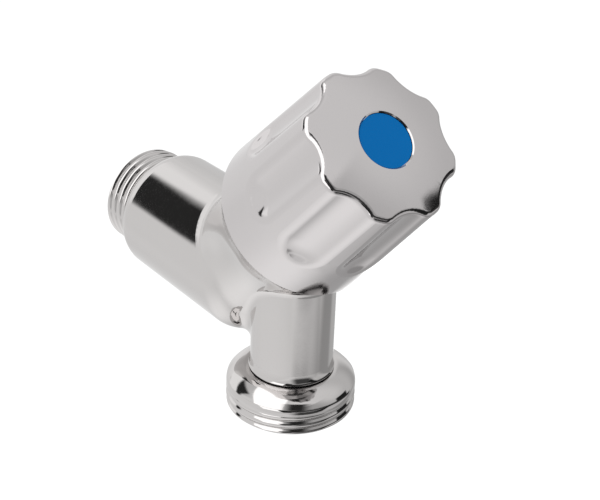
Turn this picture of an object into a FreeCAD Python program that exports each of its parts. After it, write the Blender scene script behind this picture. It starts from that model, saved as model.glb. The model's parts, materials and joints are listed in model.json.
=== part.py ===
import FreeCAD, Part
import math
import os
import re
import sys

import Sketcher

# Outdoor wall tap: an angled valve casting with a screwed headwork, a fluted
# handle, and a hose adapter that holds a backflow cartridge in the spout.
#
# Frame: X to the right when facing the tap, Y towards the wall, Z up.
# The origin lies on the inlet axis, in the shoulder plane where the inlet
# thread meets the casting. Every turned piece is drawn as a half section of
# (radius, height) corners along one of three axes: the inlet axis (heights
# towards the wall), the branch axis (heights from where it crosses the inlet
# axis, out to the handle) and the spout axis (heights are world heights).

SIZES = {
    # Axes of the casting
    "branch_tilt": (42.0, "angle between branch axis and vertical, degrees"),
    "branch_reach": (27.8, "shoulder plane to branch axis, on the inlet axis"),
    "spout_reach": (43.1, "shoulder plane to spout axis"),
    # Inlet spigot and barrel
    "inlet_thread_radius": (10.4775, "G 1/2 thread, major radius"),
    "inlet_thread_length": (7.8, "length of the inlet thread"),
    "inlet_bore_radius": (7.0, "water way in the inlet"),
    "inlet_bore_depth": (22.0, "full bore, from the shoulder plane"),
    "inlet_bore_point": (4.0, "length of the drill cone"),
    "shoulder_radius": (11.3, "barrel radius where the thread ends"),
    "shoulder_round": (3.2, "length of the rounded shoulder"),
    "barrel_rear_radius": (12.8, "barrel behind the shoulder round"),
    "barrel_front_radius": (13.5, "barrel at its nose"),
    "nose_overlap": (1.85, "how far the nose reaches past the near side of the pipe"),
    "nose_round": (5.4, "rounded edge of the nose"),
    "thread_lead": (0.7, "chamfer at the free end of both threads"),
    # Branch boss
    "boss_foot": (-2.0, "lower end of the boss, inside the barrel"),
    "boss_neck": (8.0, "level where the boss begins to flare"),
    "boss_neck_radius": (12.6, "boss radius up to there"),
    "mouth_break": (0.4, "chamfer on the edges of the mouth"),
    # Spout
    "spout_radius": (8.45, "outside of the spout pipe"),
    "spout_drop": (17.0, "inlet axis down to the pipe end"),
    "spout_crown": (8.0, "top of the pipe, inside the boss"),
    "spout_lip_radius": (8.87, "rim at the pipe end"),
    "spout_lip_height": (0.9, "height of the rim"),
    "spout_lip_flare": (1.3, "height of the cone above the rim"),
    "boss_fillet": (5.0, "fillet where boss and barrel meet"),
    "pipe_fillet": (2.5, "fillet round the root of the spout pipe"),
    # Seat and chambers
    "seat_level": (7.0, "seat face on the branch axis"),
    "seat_bore_radius": (6.0, "water way through the seat"),
    "seat_ring_radius": (7.5, "outside of the raised seat"),
    "seat_ring_height": (1.0, "seat face above the chamber floor"),
    "seat_throat": (5.5, "length of the seat bore"),
    "lower_chamber_radius": (6.5, "chamber under the seat"),
    "lower_chamber_end": (-5.0, "closed end of the lower chamber"),
    "chamber_radius": (9.5, "chamber above the seat"),
    "outlet_bore_radius": (5.0, "water way down the spout"),
    "outlet_bore_crown": (4.5, "upper end of the outlet bore"),
    "cartridge_bore_radius": (7.0, "counterbore in the spout"),
    "cartridge_shoulder": (4.0, "inlet axis down to the counterbore end"),
    # Headwork
    "headwork_thread_radius": (10.5, "tapped bore in the boss"),
    "headwork_thread_depth": (7.25, "depth of the tapped bore"),
    "headwork_seal_thickness": (1.0, "fibre ring under the flange"),
    "flange_radius": (13.0, "headwork flange"),
    "flange_thickness": (2.0, "headwork flange"),
    "spanner_flats": (21.0, "outer hexagon, across flats"),
    "spanner_height": (5.8, "height of the outer hexagon"),
    "neck_radius": (8.0, "neck above the hexagon"),
    "neck_height": (5.1, "height of the neck"),
    "turned_chamfer": (0.6, "edges of the turned brass pieces"),
    # Valve piston
    "piston_lift": (5.0, "travel from closed to open"),
    "piston_flats": (12.0, "hexagonal shank, across flats"),
    "piston_shank": (12.0, "length of the hexagonal shank"),
    "piston_head_radius": (8.0, "disc that carries the washer"),
    "piston_head_thickness": (1.8, "disc that carries the washer"),
    "piston_floor": (0.9, "metal between head and threaded bore"),
    "piston_stub_radius": (3.0, "stub that centres the washer"),
    "piston_stub_length": (1.9, "stub that centres the washer"),
    "washer_radius": (8.0, "seat washer"),
    "washer_thickness": (3.4, "seat washer"),
    "washer_screw_head_radius": (4.2, "head under the washer"),
    "washer_screw_head_height": (1.5, "head under the washer"),
    "washer_screw_radius": (1.6, "shank"),
    "washer_screw_reach": (4.7, "shank length under the head"),
    # Spindle
    "spindle_thread_radius": (4.0, "outside of the spindle thread"),
    "spindle_shaft_radius": (4.5, "ground shaft in the neck"),
    "spindle_collar_radius": (5.8, "collar that takes the thrust"),
    "spindle_collar_thickness": (1.6, "collar that takes the thrust"),
    "slip_ring_thickness": (0.5, "ring between collar and headwork"),
    "spindle_square": (6.2, "square head, across flats"),
    "ring_cord": (1.28, "cord of the spindle sealing rings"),
    "ring_groove_width": (1.8, "groove for a sealing ring"),
    "ring_spacing": (2.9, "between the two sealing rings"),
    "circlip_thickness": (0.8, "clip above the neck"),
    "circlip_radius": (6.2, "outside of the clip"),
    "circlip_depth": (0.7, "clip groove in the shaft"),
    "circlip_sweep": (305.0, "arc of the open clip, degrees"),
    # Handle
    "handle_height": (31.6, "rim to the edge of the top"),
    "handle_rim_radius": (17.0, "outside at the rim"),
    "handle_edge_radius": (15.6, "over the lobes at the top"),
    "crown_height": (1.8, "dome of the top"),
    "edge_round": (1.3, "round between side and top"),
    "lobe_count": (8, "lobes and flutes"),
    "flute_depth": (1.73, "depth of a flute"),
    "flute_radius": (7.3, "radius of a flute and of its ball end"),
    "flute_length": (17.8, "top edge to the centre of the ball end"),
    "flute_bearing": (35.8, "turn of the first flute at rest, degrees"),
    "lobe_fillet": (2.6, "fillet between flute and lobe"),
    "shell_wall": (1.5, "wall behind a flute"),
    "rim_wall": (1.8, "wall at the rim"),
    "rim_cavity": (7.1, "depth of the wide cavity"),
    "cavity_cone": (2.5, "length of the step in the cavity"),
    "top_thickness": (2.5, "edge of the top down to the cavity"),
    "hub_radius": (6.5, "hub around the spindle head"),
    "hub_web": (5.4, "hub above the spindle head"),
    # Handle screw and index disc
    "screw_radius": (2.0, "shank of the handle screw"),
    "screw_length": (9.4, "shank of the handle screw"),
    "screw_head_radius": (3.7, "head of the handle screw"),
    "screw_head_height": (2.6, "head of the handle screw"),
    "screw_slot_flats": (2.5, "hexagon socket, across flats"),
    "screw_slot_depth": (1.5, "hexagon socket"),
    "disc_radius": (5.36, "index disc"),
    "disc_thickness": (1.35, "top of the handle down to the underside of the disc"),
    "disc_sink": (0.35, "index disc below the edge of its recess"),
    "recess_break": (0.25, "chamfer round the recess"),
    "disc_skirt_height": (0.5, "skirt under the index disc"),
    "disc_skirt_wall": (0.7, "skirt under the index disc"),
    # Hose adapter
    "hose_thread_radius": (13.2205, "G 3/4 thread, major radius"),
    "hose_thread_length": (5.5, "length of the hose thread"),
    "collar_height": (3.1, "domed collar above the thread"),
    "collar_top_radius": (9.3, "inner edge of the collar's cone"),
    "collar_cone_radius": (11.4, "outer edge of the cone, where the round begins"),
    "collar_cone_height": (1.0, "height of the cone"),
    "nipple_length": (4.5, "nipple inside the pipe"),
    "nipple_bore_radius": (5.0, "water way through the nipple"),
    "mouth_radius": (9.0, "wide mouth below"),
    "mouth_depth": (5.9, "wide mouth below"),
    "adapter_ring_cord": (1.36, "sealing ring under the pipe end"),
    "adapter_ring_radius": (7.66, "middle of that ring's cord"),
    "adapter_groove_width": (1.6, "groove for that ring"),
    "adapter_groove_depth": (1.1, "groove for that ring"),
    # Backflow cartridge
    "cartridge_wall": (1.55, "wall of the cartridge housing"),
    "cartridge_flange": (1.3, "housing above the poppet seat"),
    "cartridge_throat": (3.4, "water way through the flange"),
    "cartridge_groove": (2.4, "housing top down to its ring groove"),
    "cartridge_ring_cord": (1.0, "sealing ring round the housing"),
    "guide_thickness": (1.2, "guide plate at the lower end"),
    "guide_hole_radius": (1.05, "water hole in the guide plate"),
    "guide_hole_ring": (3.65, "pitch radius of the water holes"),
    "guide_hole_count": (6, "water holes"),
    "poppet_radius": (4.4, "head of the poppet"),
    "poppet_thickness": (1.0, "head of the poppet"),
    "poppet_nose_radius": (3.1, "nose in the flange"),
    "poppet_nose_height": (1.2, "nose in the flange"),
    "poppet_seal_thickness": (0.45, "lip ring on the poppet"),
    "poppet_stem_radius": (1.0, "stem in the guide plate"),
    "poppet_lift": (2.0, "travel of the poppet"),
    "spring_coil_radius": (2.1, "middle of the spring wire"),
    "spring_wire_radius": (0.22, "wire of the poppet spring"),
    "spring_turns": (4, "turns of the poppet spring"),
    # Clearances
    "running_play": (0.1, "radial play of fits that turn or slide"),
    "thread_play": (0.1, "radial play in threads"),
    "seat_gap": (0.1, "closed washer or lip above its seat"),
    "rim_gap": (0.15, "handle rim above the boss"),
    "stop_gap": (0.3, "room left at the end of a travel"),
    "laying_gap": (0.05, "between pieces that lie on each other"),
}

# Heights along the branch axis, stacked up from the seat.
BRANCH_LEVELS = {
    "washer_bottom": "seat_level + seat_gap",
    "washer_top": "washer_bottom + washer_thickness",
    "piston_head_top": "washer_top + piston_head_thickness",
    "piston_top": "piston_head_top + piston_shank",
    "piston_bore_floor": "piston_head_top + piston_floor",
    "headwork_bottom": "piston_head_top + piston_lift + 2 * stop_gap",
    "tapped_floor": "headwork_bottom - stop_gap",
    "boss_mouth": "tapped_floor + headwork_thread_depth",
    "flange_bottom": "boss_mouth + headwork_seal_thickness",
    "flange_top": "flange_bottom + flange_thickness",
    "spanner_top": "flange_top + spanner_height",
    "neck_top": "spanner_top + neck_height",
    "spindle_bottom": "piston_bore_floor + piston_lift + stop_gap",
    "collar_bottom": "piston_top + piston_lift + stop_gap",
    "collar_top": "collar_bottom + spindle_collar_thickness",
    "slip_ring_top": "collar_top + laying_gap + slip_ring_thickness",
    "guide_ceiling": "slip_ring_top + laying_gap",
    "upper_ring": "neck_top - ring_groove_width",
    "lower_ring": "upper_ring - ring_spacing",
    "circlip_bottom": "neck_top + laying_gap",
    "circlip_top": "circlip_bottom + circlip_thickness",
    "square_bottom": "circlip_top + stop_gap",
    "handle_rim": "boss_mouth + rim_gap",
    "handle_edge": "handle_rim + handle_height",
    "crown_top": "handle_edge + crown_height",
    "recess_floor": "crown_top - disc_thickness - laying_gap",
    "recess_edge": "crown_top - crown_height * (recess_radius / handle_edge_radius) ^ 2",
    "disc_top": "recess_edge - disc_sink",
    "screw_seat": "recess_floor - disc_skirt_height - screw_head_height - laying_gap",
    "square_top": "screw_seat - hub_web",
    "screw_tip": "screw_seat + laying_gap - screw_length",
    "flute_ball": "handle_edge - flute_length",
    "hub_bottom": "square_bottom + stop_gap",
}

# World heights along the spout axis, stacked down from the counterbore.
SPOUT_LEVELS = {
    "pipe_end": "-spout_drop",
    "collar_face": "pipe_end - stop_gap",
    "nipple_top": "collar_face + nipple_length",
    "thread_start": "collar_face - collar_height",
    "adapter_end": "thread_start - hose_thread_length",
    "cartridge_top": "-cartridge_shoulder - laying_gap",
    "cartridge_end": "nipple_top + laying_gap",
    "poppet_seat": "cartridge_top - cartridge_flange",
    "poppet_seal_top": "poppet_seat - seat_gap",
    "poppet_head_top": "poppet_seal_top - poppet_seal_thickness",
    "poppet_head_end": "poppet_head_top - poppet_thickness",
    "guide_top": "cartridge_end + guide_thickness",
    "spring_top": "poppet_head_end - laying_gap",
    "spring_end": "guide_top + laying_gap",
}

# Radii and turns that follow from other sizes.
FITS = {
    "barrel_length": "spout_reach - spout_radius + nose_overlap",
    "boss_mouth_radius": "handle_rim_radius - running_play",
    "headwork_radius": "headwork_thread_radius - thread_play",
    "neck_bore_radius": "spindle_shaft_radius + running_play",
    "guide_flats": "piston_flats + 2 * running_play",
    "ring_groove_floor": "neck_bore_radius - ring_cord",
    "flute_floor": "handle_edge_radius - flute_depth",
    "cavity_radius": "flute_floor - shell_wall",
    "rim_cavity_radius": "handle_rim_radius - rim_wall",
    "recess_radius": "disc_radius + thread_play",
    "side_slope": "(handle_rim_radius - handle_edge_radius) / handle_height",
    "lean_cos": "1 / sqrt(1 + side_slope ^ 2)",
    "lean_sin": "side_slope * lean_cos",
    "ball_centre": "flute_floor + flute_radius + side_slope * flute_length",
    "flute_run": "flute_length + flute_radius",
    "nipple_radius": "cartridge_bore_radius - thread_play",
    "cartridge_radius": "cartridge_bore_radius - thread_play",
    "cartridge_inside": "cartridge_radius - cartridge_wall",
    "guide_radius": "cartridge_inside - laying_gap",
}

SHEETS = {"Sizes": {name: str(value) for name, (value, note) in SIZES.items()}}
SHEETS["Branch"] = BRANCH_LEVELS
SHEETS["Spout"] = SPOUT_LEVELS
SHEETS["Fits"] = FITS
SHEET_OF = {name: sheet for sheet, cells in SHEETS.items() for name in cells}


def linked(text):
    """Return an expression in which each size name points to its sheet."""
    def point(match):
        name = match.group()
        return SHEET_OF[name] + "." + name if name in SHEET_OF else name
    return re.sub(r"[a-z][a-z_]+", point, str(text))


def fill_sheets(doc):
    """Make the sheet of driving sizes and the sheets worked out from it."""
    for title, cells in SHEETS.items():
        sheet = doc.addObject("Spreadsheet::Sheet", title)
        for row, (name, text) in enumerate(cells.items(), start=1):
            sheet.set(f"A{row}", name)
            sheet.setAlias(f"B{row}", name)
            if title == "Sizes":
                sheet.set(f"B{row}", text)
                sheet.set(f"C{row}", SIZES[name][1])
    for title, cells in SHEETS.items():
        for row, text in enumerate(cells.values(), start=1):
            if title != "Sizes":
                doc.getObject(title).set(f"B{row}", "=" + linked(text))
    doc.recompute()


def worth(doc, text):
    """Return the present value of an expression."""
    value = doc.getObject("Sizes").evalExpression(linked(text))
    return float(getattr(value, "Value", value))


# The three axes: which way a sketch or a piece is turned and moved to lie on one.
AXES = {
    "inlet": ("0", "-90"),
    "branch": ("-branch_reach", "branch_tilt"),
    "spout": ("-spout_reach", "0"),
}
SIDE_PLANE = "YZ_Plane"
FLAT_PLANE = "XY_Plane"

# How near two measured places must be to count as one, in millimetres.
SAME_SPOT = 0.05

# Sides of the cords of sealing rings and of the spring's wire.
RING_SIDES = 8
WIRE_SIDES = 6


def new_body(doc, label, axis=None):
    """Make an empty body, laid on one of the axes."""
    body = doc.addObject("PartDesign::Body", label)
    body.Label = label
    if axis:
        place_on(body, axis)
    return body


def place_on(piece, axis):
    """Lay a piece, drawn along its own Z, on one of the axes."""
    reach, tilt = AXES[axis]
    across = FreeCAD.Vector(1, 0, 0)
    piece.Placement = FreeCAD.Placement(FreeCAD.Vector(), FreeCAD.Rotation(across, 1))
    piece.setExpression("Placement.Base.y", linked(reach))
    piece.setExpression("Placement.Rotation.Angle", linked(tilt))


def new_sketch(body, name, plane):
    """Add an empty sketch on one of the body's own origin planes."""
    sketch = body.newObject("Sketcher::SketchObject", name)
    faces = [item for item in body.Origin.OriginFeatures if item.Role == plane]
    sketch.AttachmentSupport = (faces[0], "")
    sketch.MapMode = "FlatFace"
    return sketch


def lay_sketch_on(sketch, axis):
    """Turn and move a side sketch so that its upright is one of the axes."""
    reach, tilt = AXES[axis]
    out = FreeCAD.Vector(0, 0, 1)
    sketch.AttachmentOffset = FreeCAD.Placement(FreeCAD.Vector(), FreeCAD.Rotation(out, 1))
    sketch.setExpression("AttachmentOffset.Base.x", linked(reach))
    sketch.setExpression("AttachmentOffset.Rotation.Angle", linked(tilt))


def turned_arc(start, end, centre):
    """Return the short arc between two points and the order of its ends."""
    circle = Part.Circle(centre, FreeCAD.Vector(0, 0, 1), (start - centre).Length)
    first = math.atan2(start.y - centre.y, start.x - centre.x)
    last = math.atan2(end.y - centre.y, end.x - centre.x)
    leftward = (start - centre).cross(end - centre).z > 0
    if leftward:
        return Part.ArcOfCircle(circle, first, last), (1, 2)
    return Part.ArcOfCircle(circle, last, first), (2, 1)


def arc_centre(start, end, known, value):
    """Return the centre of an arc through two points, given its x or its y."""
    middle = (start + end) / 2
    chord = end - start
    if known == "x":
        shift = (value - middle.x) * chord.x / chord.y
        return FreeCAD.Vector(value, middle.y - shift, 0)
    shift = (value - middle.y) * chord.y / chord.x
    return FreeCAD.Vector(middle.x - shift, value, 0)


def draw_outline(sketch, corners):
    """Draw a closed outline whose corners are bound to the sheets.

    A corner is a pair of expressions. A third item, such as ("y", text), makes
    the edge that leaves the corner an arc whose centre has that coordinate.
    """
    doc = sketch.Document
    spots = [FreeCAD.Vector(worth(doc, c[0]), worth(doc, c[1]), 0) for c in corners]
    count = len(corners)
    ends = []
    for index, corner in enumerate(corners):
        start = spots[index]
        end = spots[(index + 1) % count]
        if len(corner) == 3:
            known, text = corner[2]
            centre = arc_centre(start, end, known, worth(doc, text))
            arc, order = turned_arc(start, end, centre)
            sketch.addGeometry(arc)
            kind = "DistanceX" if known == "x" else "DistanceY"
            bind(sketch, kind, (index, 3), text)
            ends.append(order)
        else:
            sketch.addGeometry(Part.LineSegment(start, end))
            ends.append((1, 2))
    for index in range(count):
        after = (index + 1) % count
        pair = ("Coincident", index, ends[index][1], after, ends[after][0])
        sketch.addConstraint(Sketcher.Constraint(*pair))
    for index, corner in enumerate(corners):
        bind(sketch, "DistanceX", (index, ends[index][0]), corner[0])
        bind(sketch, "DistanceY", (index, ends[index][0]), corner[1])


def bind(sketch, kind, point, text):
    """Hold one coordinate of a sketch point to an expression."""
    value = worth(sketch.Document, text)
    number = sketch.addConstraint(Sketcher.Constraint(kind, -1, 1, *point, value))
    sketch.setExpression(f"Constraints[{number}]", linked(text))


def turn(body, name, corners, axis=None, sweep=360, cut=False):
    """Revolve a half section about its axis, as added or removed metal."""
    sketch = new_sketch(body, name + "_section", SIDE_PLANE)
    if axis:
        lay_sketch_on(sketch, axis)
    draw_outline(sketch, corners)
    kind = "PartDesign::Groove" if cut else "PartDesign::Revolution"
    feature = body.newObject(kind, name)
    feature.Profile = sketch
    feature.ReferenceAxis = (sketch, ["V_Axis"])
    feature.Angle = 360
    if sweep != 360:
        feature.setExpression("Angle", linked(sweep))
    body.Document.recompute()
    return feature


def polygon(flats, sides):
    """Return the corners of a regular polygon from its size across flats."""
    reach = f"({flats}) / 2 / cos({180 / sides})"
    turns = [360 / sides * step + 180 / sides for step in range(sides)]
    return [(f"{reach} * cos({angle})", f"{reach} * sin({angle})") for angle in turns]


def prism(body, name, corners, bottom, top, cut=False):
    """Raise an outline from one height to another, or cut it out."""
    sketch = new_sketch(body, name + "_outline", FLAT_PLANE)
    sketch.setExpression("AttachmentOffset.Base.z", linked(bottom))
    draw_outline(sketch, corners)
    return raise_sketch(body, name, sketch, bottom, top, cut)


def raise_sketch(body, name, sketch, bottom, top, cut):
    """Pad or pocket a flat sketch upwards."""
    feature = body.newObject("PartDesign::Pocket" if cut else "PartDesign::Pad", name)
    feature.Profile = sketch
    feature.Type = "Length"
    feature.setExpression("Length", linked(f"({top}) - ({bottom})"))
    feature.Reversed = cut
    body.Document.recompute()
    return feature


def drill(body, name, radius, offset, bottom, top):
    """Cut a round hole beside the body's axis, upwards from a height."""
    sketch = new_sketch(body, name + "_circle", FLAT_PLANE)
    sketch.setExpression("AttachmentOffset.Base.z", linked(bottom))
    middle = FreeCAD.Vector(worth(body.Document, offset), 0, 0)
    sketch.addGeometry(Part.Circle(middle, FreeCAD.Vector(0, 0, 1), worth(body.Document, radius)))
    bind(sketch, "DistanceX", (0, 3), offset)
    sketch.addConstraint(Sketcher.Constraint("PointOnObject", 0, 3, -1))
    size = sketch.addConstraint(Sketcher.Constraint("Radius", 0, worth(body.Document, radius)))
    sketch.setExpression(f"Constraints[{size}]", linked(radius))
    return raise_sketch(body, name, sketch, bottom, top, True)


def repeat_round(body, name, feature, count):
    """Repeat a feature evenly round the body's own Z axis."""
    pattern = body.newObject("PartDesign::PolarPattern", name)
    pattern.Originals = [feature]
    upright = [item for item in body.Origin.OriginFeatures if item.Role == "Z_Axis"]
    pattern.Axis = (upright[0], [""])
    pattern.Angle = 360
    pattern.setExpression("Occurrences", linked(count))
    body.Tip = pattern
    body.Document.recompute()
    return pattern


def soften(body, name, wanted, size, kind="PartDesign::Fillet"):
    """Fillet or chamfer the edges of the tip that a test picks out."""
    base = body.Tip
    edges = enumerate(base.Shape.Edges, start=1)
    names = [f"Edge{i}" for i, edge in edges if not edge.Degenerated and wanted(edge)]
    if not names:
        raise RuntimeError(f"{body.Label}: no edge for {name}")
    feature = body.newObject(kind, name)
    feature.Base = (base, names)
    feature.setExpression("Radius" if kind.endswith("Fillet") else "Size", linked(size))
    body.Document.recompute()
    return feature


def sealing_ring(doc, label, axis, ring, cord, height):
    """Make a sealing ring with an eight-sided cord on one of the axes."""
    body = new_body(doc, label, axis)
    section = polygon(cord, RING_SIDES)
    turn(body, "cord", [(f"{ring} + {x}", f"{height} + {y}") for x, y in section])
    return body


def valve_body(doc):
    """Casting: threaded inlet barrel, oblique boss, spout, seat and water ways."""
    body = new_body(doc, "valve_body")
    turn(body, "barrel", [
        ("0", "inlet_thread_length"),
        ("-inlet_thread_radius + thread_lead", "inlet_thread_length"),
        ("-inlet_thread_radius", "inlet_thread_length - thread_lead"),
        ("-inlet_thread_radius", "0"),
        ("-shoulder_radius", "0", ("y", "-shoulder_round")),
        ("-barrel_rear_radius", "-shoulder_round"),
        ("-barrel_front_radius", "-barrel_length"),
        ("0", "-barrel_length"),
    ], "inlet")
    nose_plane = -worth(doc, "barrel_length")
    soften(body, "nose", lambda edge: abs(edge.CenterOfMass.y - nose_plane) < SAME_SPOT,
           "nose_round")
    turn(body, "boss", [
        ("0", "boss_foot"),
        ("boss_neck_radius", "boss_foot"),
        ("boss_neck_radius", "boss_neck", ("y", "boss_neck")),
        ("boss_mouth_radius", "boss_mouth"),
        ("0", "boss_mouth"),
    ], "branch")
    turn(body, "spout", [
        ("0", "pipe_end"),
        ("spout_lip_radius", "pipe_end"),
        ("spout_lip_radius", "pipe_end + spout_lip_height"),
        ("spout_radius", "pipe_end + spout_lip_height + spout_lip_flare"),
        ("spout_radius", "spout_crown"),
        ("0", "spout_crown"),
    ], "spout")
    soften(body, "boss_fillets", seam_test(doc, False), "boss_fillet")
    soften(body, "pipe_fillets", seam_test(doc, True), "pipe_fillet")
    turn(body, "inlet_bore", [
        ("0", "inlet_thread_length + stop_gap"),
        ("-inlet_bore_radius", "inlet_thread_length + stop_gap"),
        ("-inlet_bore_radius", "-inlet_bore_depth"),
        ("0", "-inlet_bore_depth - inlet_bore_point"),
    ], "inlet", cut=True)
    turn(body, "lower_chamber", [
        ("0", "lower_chamber_end"),
        ("lower_chamber_radius", "lower_chamber_end"),
        ("lower_chamber_radius", "seat_level - seat_throat"),
        ("seat_bore_radius", "seat_level - seat_throat"),
        ("seat_bore_radius", "seat_level + stop_gap"),
        ("0", "seat_level + stop_gap"),
    ], "branch", cut=True)
    turn(body, "upper_chamber", [
        ("0", "seat_level"),
        ("seat_ring_radius", "seat_level"),
        ("seat_ring_radius", "seat_level - seat_ring_height"),
        ("chamber_radius", "seat_level - seat_ring_height"),
        ("chamber_radius", "tapped_floor"),
        ("headwork_thread_radius", "tapped_floor"),
        ("headwork_thread_radius", "boss_mouth - mouth_break"),
        ("headwork_thread_radius + mouth_break", "boss_mouth"),
        ("headwork_thread_radius + mouth_break", "boss_mouth + stop_gap"),
        ("0", "boss_mouth + stop_gap"),
    ], "branch", cut=True)
    turn(body, "outlet_bore", [
        ("0", "pipe_end - stop_gap"),
        ("cartridge_bore_radius", "pipe_end - stop_gap"),
        ("cartridge_bore_radius", "-cartridge_shoulder"),
        ("outlet_bore_radius", "-cartridge_shoulder"),
        ("outlet_bore_radius", "outlet_bore_crown"),
        ("0", "outlet_bore_crown + outlet_bore_radius / 2"),
    ], "spout", cut=True)
    return body


def seam_test(doc, round_pipe):
    """Return a test for the casting's seams: those round the pipe, or the others."""
    pipe_centre = worth(doc, "spout_reach")
    pipe_radius = worth(doc, "spout_radius")
    shoulder = -worth(doc, "shoulder_round")
    lip_top = worth(doc, "pipe_end + spout_lip_height + spout_lip_flare")

    def on_pipe(spot):
        return abs(math.hypot(spot.x, spot.y + pipe_centre) - pipe_radius) < SAME_SPOT

    def test(edge):
        if edge.Curve.TypeId != "Part::GeomBSplineCurve":
            return False
        middle = edge.CenterOfMass
        if middle.y > shoulder or middle.z < lip_top:
            return False
        return all(on_pipe(spot) for spot in edge.discretize(5)) == round_pipe
    return test


def headwork(doc):
    """Screwed brass insert: thread, flange, spanner hexagon, neck and guide."""
    body = new_body(doc, "headwork", "branch")
    turn(body, "headwork_blank", [
        ("0", "headwork_bottom"),
        ("headwork_radius - turned_chamfer", "headwork_bottom"),
        ("headwork_radius", "headwork_bottom + turned_chamfer"),
        ("headwork_radius", "flange_bottom"),
        ("flange_radius", "flange_bottom"),
        ("flange_radius", "flange_top"),
        ("neck_radius", "flange_top"),
        ("neck_radius", "neck_top - turned_chamfer"),
        ("neck_radius - turned_chamfer", "neck_top"),
        ("0", "neck_top"),
    ])
    prism(body, "spanner_hexagon", polygon("spanner_flats", 6), "flange_top", "spanner_top")
    prism(body, "guide_hexagon", polygon("guide_flats", 6),
          "headwork_bottom", "guide_ceiling", cut=True)
    turn(body, "neck_bore", [
        ("0", "guide_ceiling - stop_gap"),
        ("neck_bore_radius", "guide_ceiling - stop_gap"),
        ("neck_bore_radius", "neck_top + stop_gap"),
        ("0", "neck_top + stop_gap"),
    ], cut=True)
    return body


def headwork_seal(doc):
    """Fibre ring between the boss and the headwork flange."""
    body = new_body(doc, "headwork_seal", "branch")
    turn(body, "seal_ring", [
        ("headwork_thread_radius + mouth_break", "boss_mouth + laying_gap"),
        ("flange_radius", "boss_mouth + laying_gap"),
        ("flange_radius", "flange_bottom - laying_gap"),
        ("headwork_thread_radius + mouth_break", "flange_bottom - laying_gap"),
    ])
    return body


def piston(doc):
    """Hexagonal valve piston with a threaded bore, a head and a washer stub."""
    body = new_body(doc, "piston", "branch")
    turn(body, "piston_head", [
        ("0", "washer_top - piston_stub_length"),
        ("piston_stub_radius", "washer_top - piston_stub_length"),
        ("piston_stub_radius", "washer_top + laying_gap"),
        ("piston_head_radius", "washer_top + laying_gap"),
        ("piston_head_radius", "piston_head_top"),
        ("0", "piston_head_top"),
    ])
    prism(body, "piston_hexagon", polygon("piston_flats", 6), "piston_head_top", "piston_top")
    turn(body, "piston_bore", [
        ("0", "piston_bore_floor"),
        ("spindle_thread_radius + thread_play", "piston_bore_floor"),
        ("spindle_thread_radius + thread_play", "piston_top + stop_gap"),
        ("0", "piston_top + stop_gap"),
    ], cut=True)
    turn(body, "washer_screw_hole", [
        ("0", "washer_top - piston_stub_length - stop_gap"),
        ("washer_screw_radius + laying_gap", "washer_top - piston_stub_length - stop_gap"),
        ("washer_screw_radius + laying_gap", "washer_bottom + washer_screw_reach"),
        ("0", "washer_bottom + washer_screw_reach + laying_gap"),
    ], cut=True)
    return body


def seat_washer(doc):
    """Rubber washer that closes the seat."""
    body = new_body(doc, "seat_washer", "branch")
    turn(body, "washer", [
        ("piston_stub_radius + laying_gap", "washer_bottom"),
        ("washer_radius", "washer_bottom"),
        ("washer_radius", "washer_top"),
        ("piston_stub_radius + laying_gap", "washer_top"),
    ])
    return body


def washer_screw(doc):
    """Screw that holds the washer to the piston."""
    body = new_body(doc, "washer_screw", "branch")
    turn(body, "screw", [
        ("0", "washer_bottom - washer_screw_head_height"),
        ("washer_screw_head_radius - turned_chamfer", "washer_bottom - washer_screw_head_height"),
        ("washer_screw_head_radius", "washer_bottom - washer_screw_head_height + turned_chamfer"),
        ("washer_screw_head_radius", "washer_bottom - laying_gap"),
        ("washer_screw_radius", "washer_bottom - laying_gap"),
        ("washer_screw_radius", "washer_bottom + washer_screw_reach - laying_gap"),
        ("0", "washer_bottom + washer_screw_reach - laying_gap"),
    ])
    return body


def ring_groove(body, name, height, floor, width, outside):
    """Cut a groove for a sealing ring into a turned piece."""
    turn(body, name, [
        (floor, f"{height} - {width} / 2"),
        (outside, f"{height} - {width} / 2"),
        (outside, f"{height} + {width} / 2"),
        (floor, f"{height} + {width} / 2"),
    ], cut=True)


def spindle(doc):
    """Spindle that turns in place: thread, thrust collar, shaft and square."""
    body = new_body(doc, "spindle", "branch")
    turn(body, "spindle_blank", [
        ("0", "spindle_bottom"),
        ("spindle_thread_radius - turned_chamfer", "spindle_bottom"),
        ("spindle_thread_radius", "spindle_bottom + turned_chamfer"),
        ("spindle_thread_radius", "collar_bottom"),
        ("spindle_collar_radius", "collar_bottom"),
        ("spindle_collar_radius", "collar_top"),
        ("spindle_shaft_radius", "collar_top"),
        ("spindle_shaft_radius", "square_bottom"),
        ("0", "square_bottom"),
    ])
    prism(body, "square_head", polygon("spindle_square", 4), "square_bottom", "square_top")
    for name in ("lower_ring", "upper_ring"):
        ring_groove(body, name + "_groove", name, "ring_groove_floor", "ring_groove_width",
                    "spindle_shaft_radius + stop_gap")
    turn(body, "circlip_groove", [
        ("spindle_shaft_radius - circlip_depth", "circlip_bottom"),
        ("spindle_shaft_radius + stop_gap", "circlip_bottom"),
        ("spindle_shaft_radius + stop_gap", "circlip_top"),
        ("spindle_shaft_radius - circlip_depth", "circlip_top"),
    ], cut=True)
    turn(body, "handle_screw_hole", [
        ("0", "screw_tip - stop_gap"),
        ("screw_radius + laying_gap", "screw_tip - stop_gap"),
        ("screw_radius + laying_gap", "square_top + stop_gap"),
        ("0", "square_top + stop_gap"),
    ], cut=True)
    return body


def slip_ring(doc):
    """Plastic ring that takes the thrust of the collar."""
    body = new_body(doc, "slip_ring", "branch")
    turn(body, "ring", [
        ("spindle_shaft_radius + laying_gap", "collar_top + laying_gap"),
        ("spindle_collar_radius", "collar_top + laying_gap"),
        ("spindle_collar_radius", "slip_ring_top"),
        ("spindle_shaft_radius + laying_gap", "slip_ring_top"),
    ])
    return body


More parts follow.
